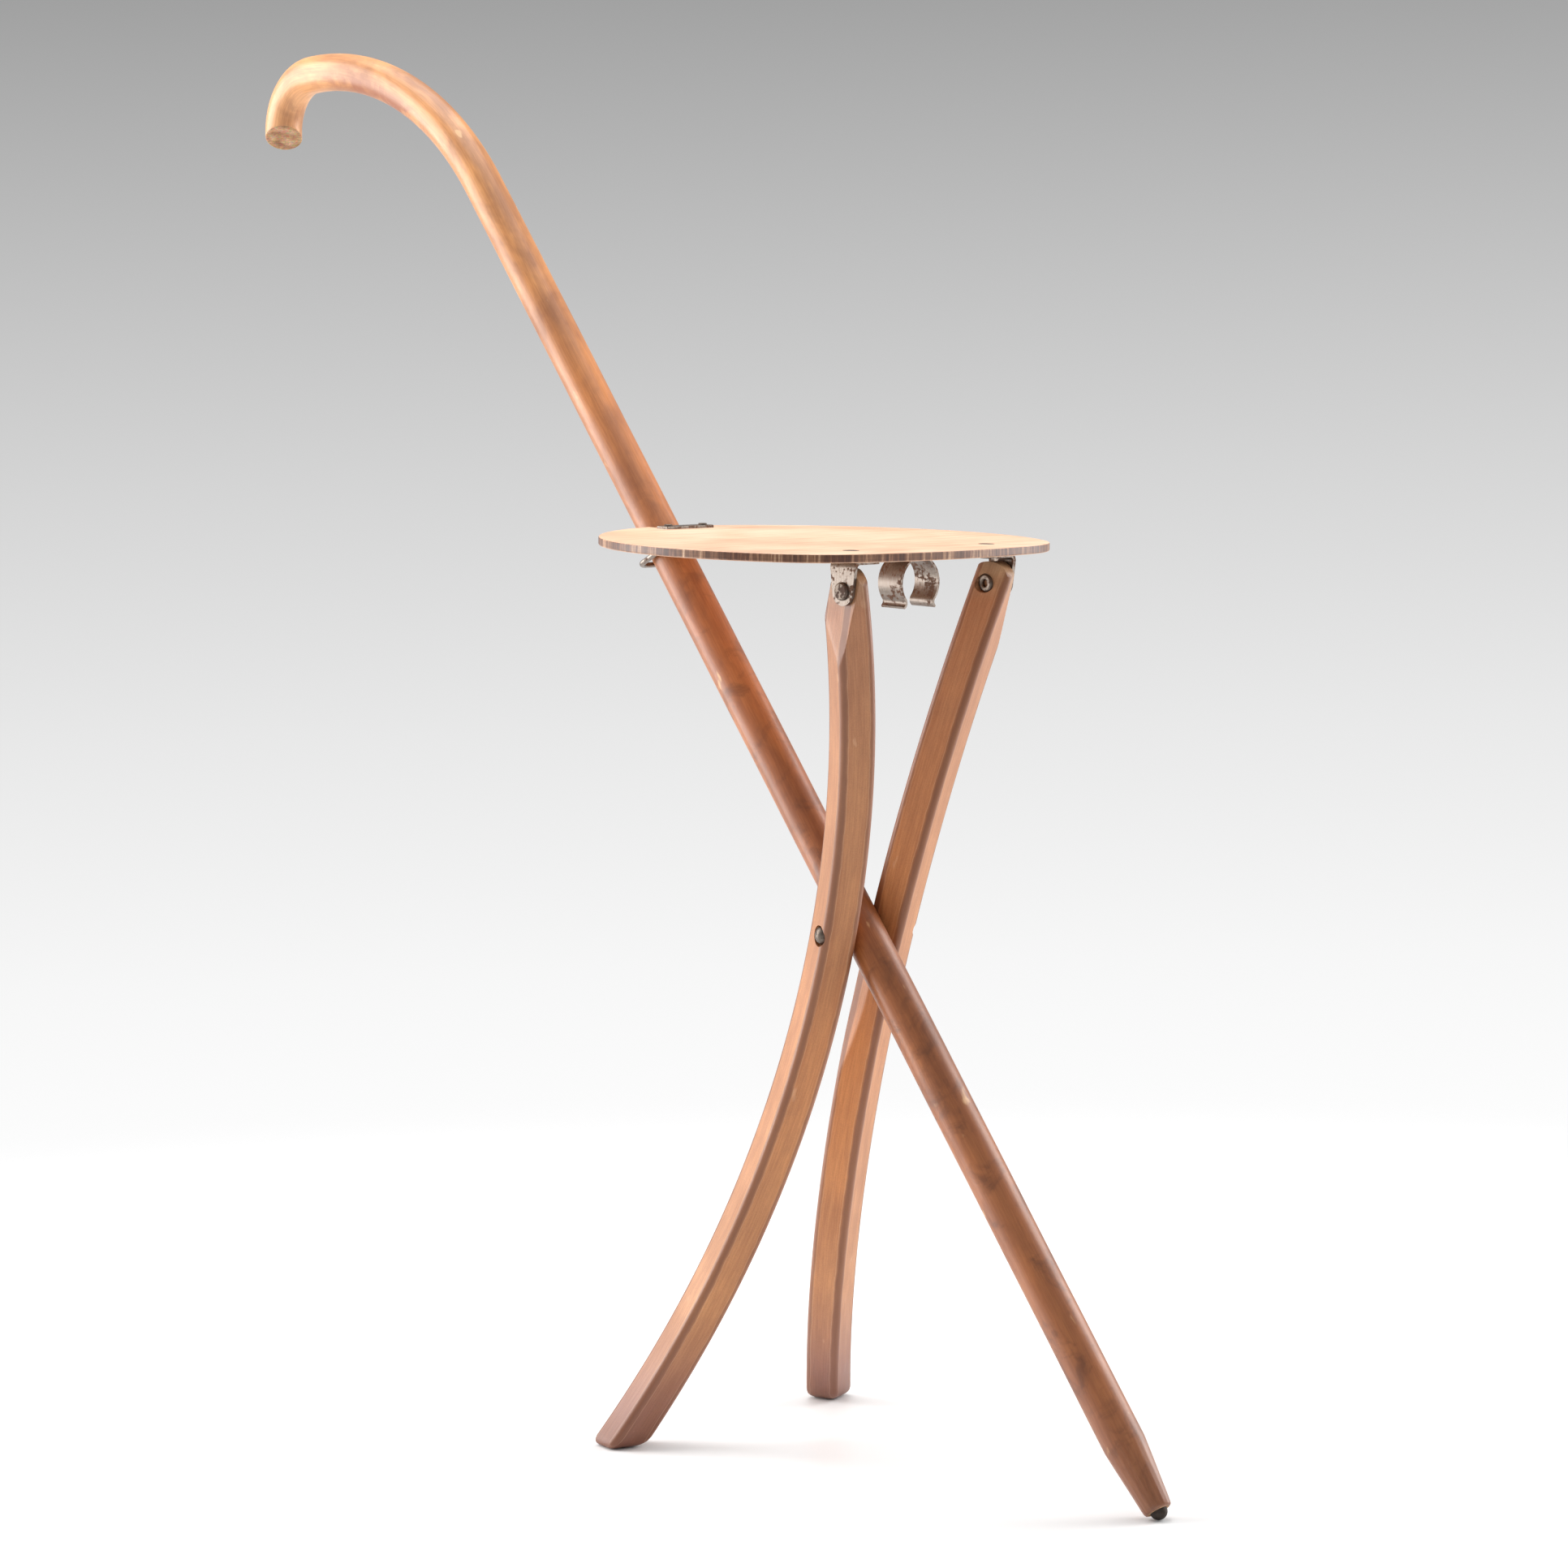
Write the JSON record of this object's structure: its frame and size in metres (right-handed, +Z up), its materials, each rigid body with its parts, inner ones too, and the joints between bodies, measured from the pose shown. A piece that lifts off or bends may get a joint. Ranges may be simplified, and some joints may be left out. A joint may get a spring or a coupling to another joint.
{
  "type": "walking stick seat",
  "caption": "Crook-handled wooden walking stick with bowed legs riveted across it and a thin rounded board seat; it stands open as a tripod stool and folds flat along the stick.",
  "frame": {"origin": "on the floor under the middle of the open stool's bounding box", "axes": "+Z up, +X the way a sitter faces, +Y the sitter's left; the stick leans back towards -X as it rises"},
  "size_m": [0.6568, 0.2128, 0.7176],
  "materials": {
    "stick_beech": "waxed steam-bent beech, honey brown",
    "leg_beech": "waxed bent beech, worn at the edges",
    "seat_plywood": "pale plywood face with a dark stained edge",
    "strip_steel": "aged brushed steel strip with rust specks",
    "rivet_steel": "dull dark rivets",
    "wire_steel": "drawn steel rod, tarnished",
    "dark_steel": "dark worn steel stud"
  },
  "bodies": {
    "stick": {"cane": "stick_beech", "cane_tip_stud": "dark_steel"},
    "legs": {"left_leg": "leg_beech", "right_leg": "leg_beech", "pivot_rivet": "rivet_steel", "pivot_rivet_washer": "strip_steel"},
    "seat": {"seat_board": "seat_plywood", "left_bracket": "strip_steel", "right_bracket": "strip_steel", "left_bracket_pin": "rivet_steel", "right_bracket_pin": "rivet_steel", "bracket_rivets": "rivet_steel", "spring_clip": "strip_steel", "spring_clip_screw": "rivet_steel", "cane_plate": "strip_steel", "cane_plate_rivets": "rivet_steel", "bail_staples": "wire_steel"},
    "slide_bail": {"bail": "wire_steel"}
  },
  "joints": [
    {"name": "legs_fold", "type": "hinge", "parent": "stick", "child": "legs", "pos_m": [0.13616, 0, 0.2592], "axis": [0, -1, 0], "range_deg": [0, 52.33]},
    {"name": "seat_tilt", "type": "hinge", "parent": "legs", "child": "seat", "pos_m": [0.18451, 0, 0.42633], "axis": [0, -1, 0], "range_deg": [-102.8, 0], "deforming": ["spring_clip"]},
    {"name": "bail_swing", "type": "hinge", "parent": "seat", "child": "slide_bail", "pos_m": [0.01812, 0, 0.44912], "axis": [0, -1, 0], "range_deg": [0, 94.8]}
  ],
  "couplings": [
    {"joint": "seat_tilt", "follows": "legs_fold", "ratio": -1.963},
    {"joint": "bail_swing", "follows": "legs_fold", "ratio": 1.81}
  ]
}
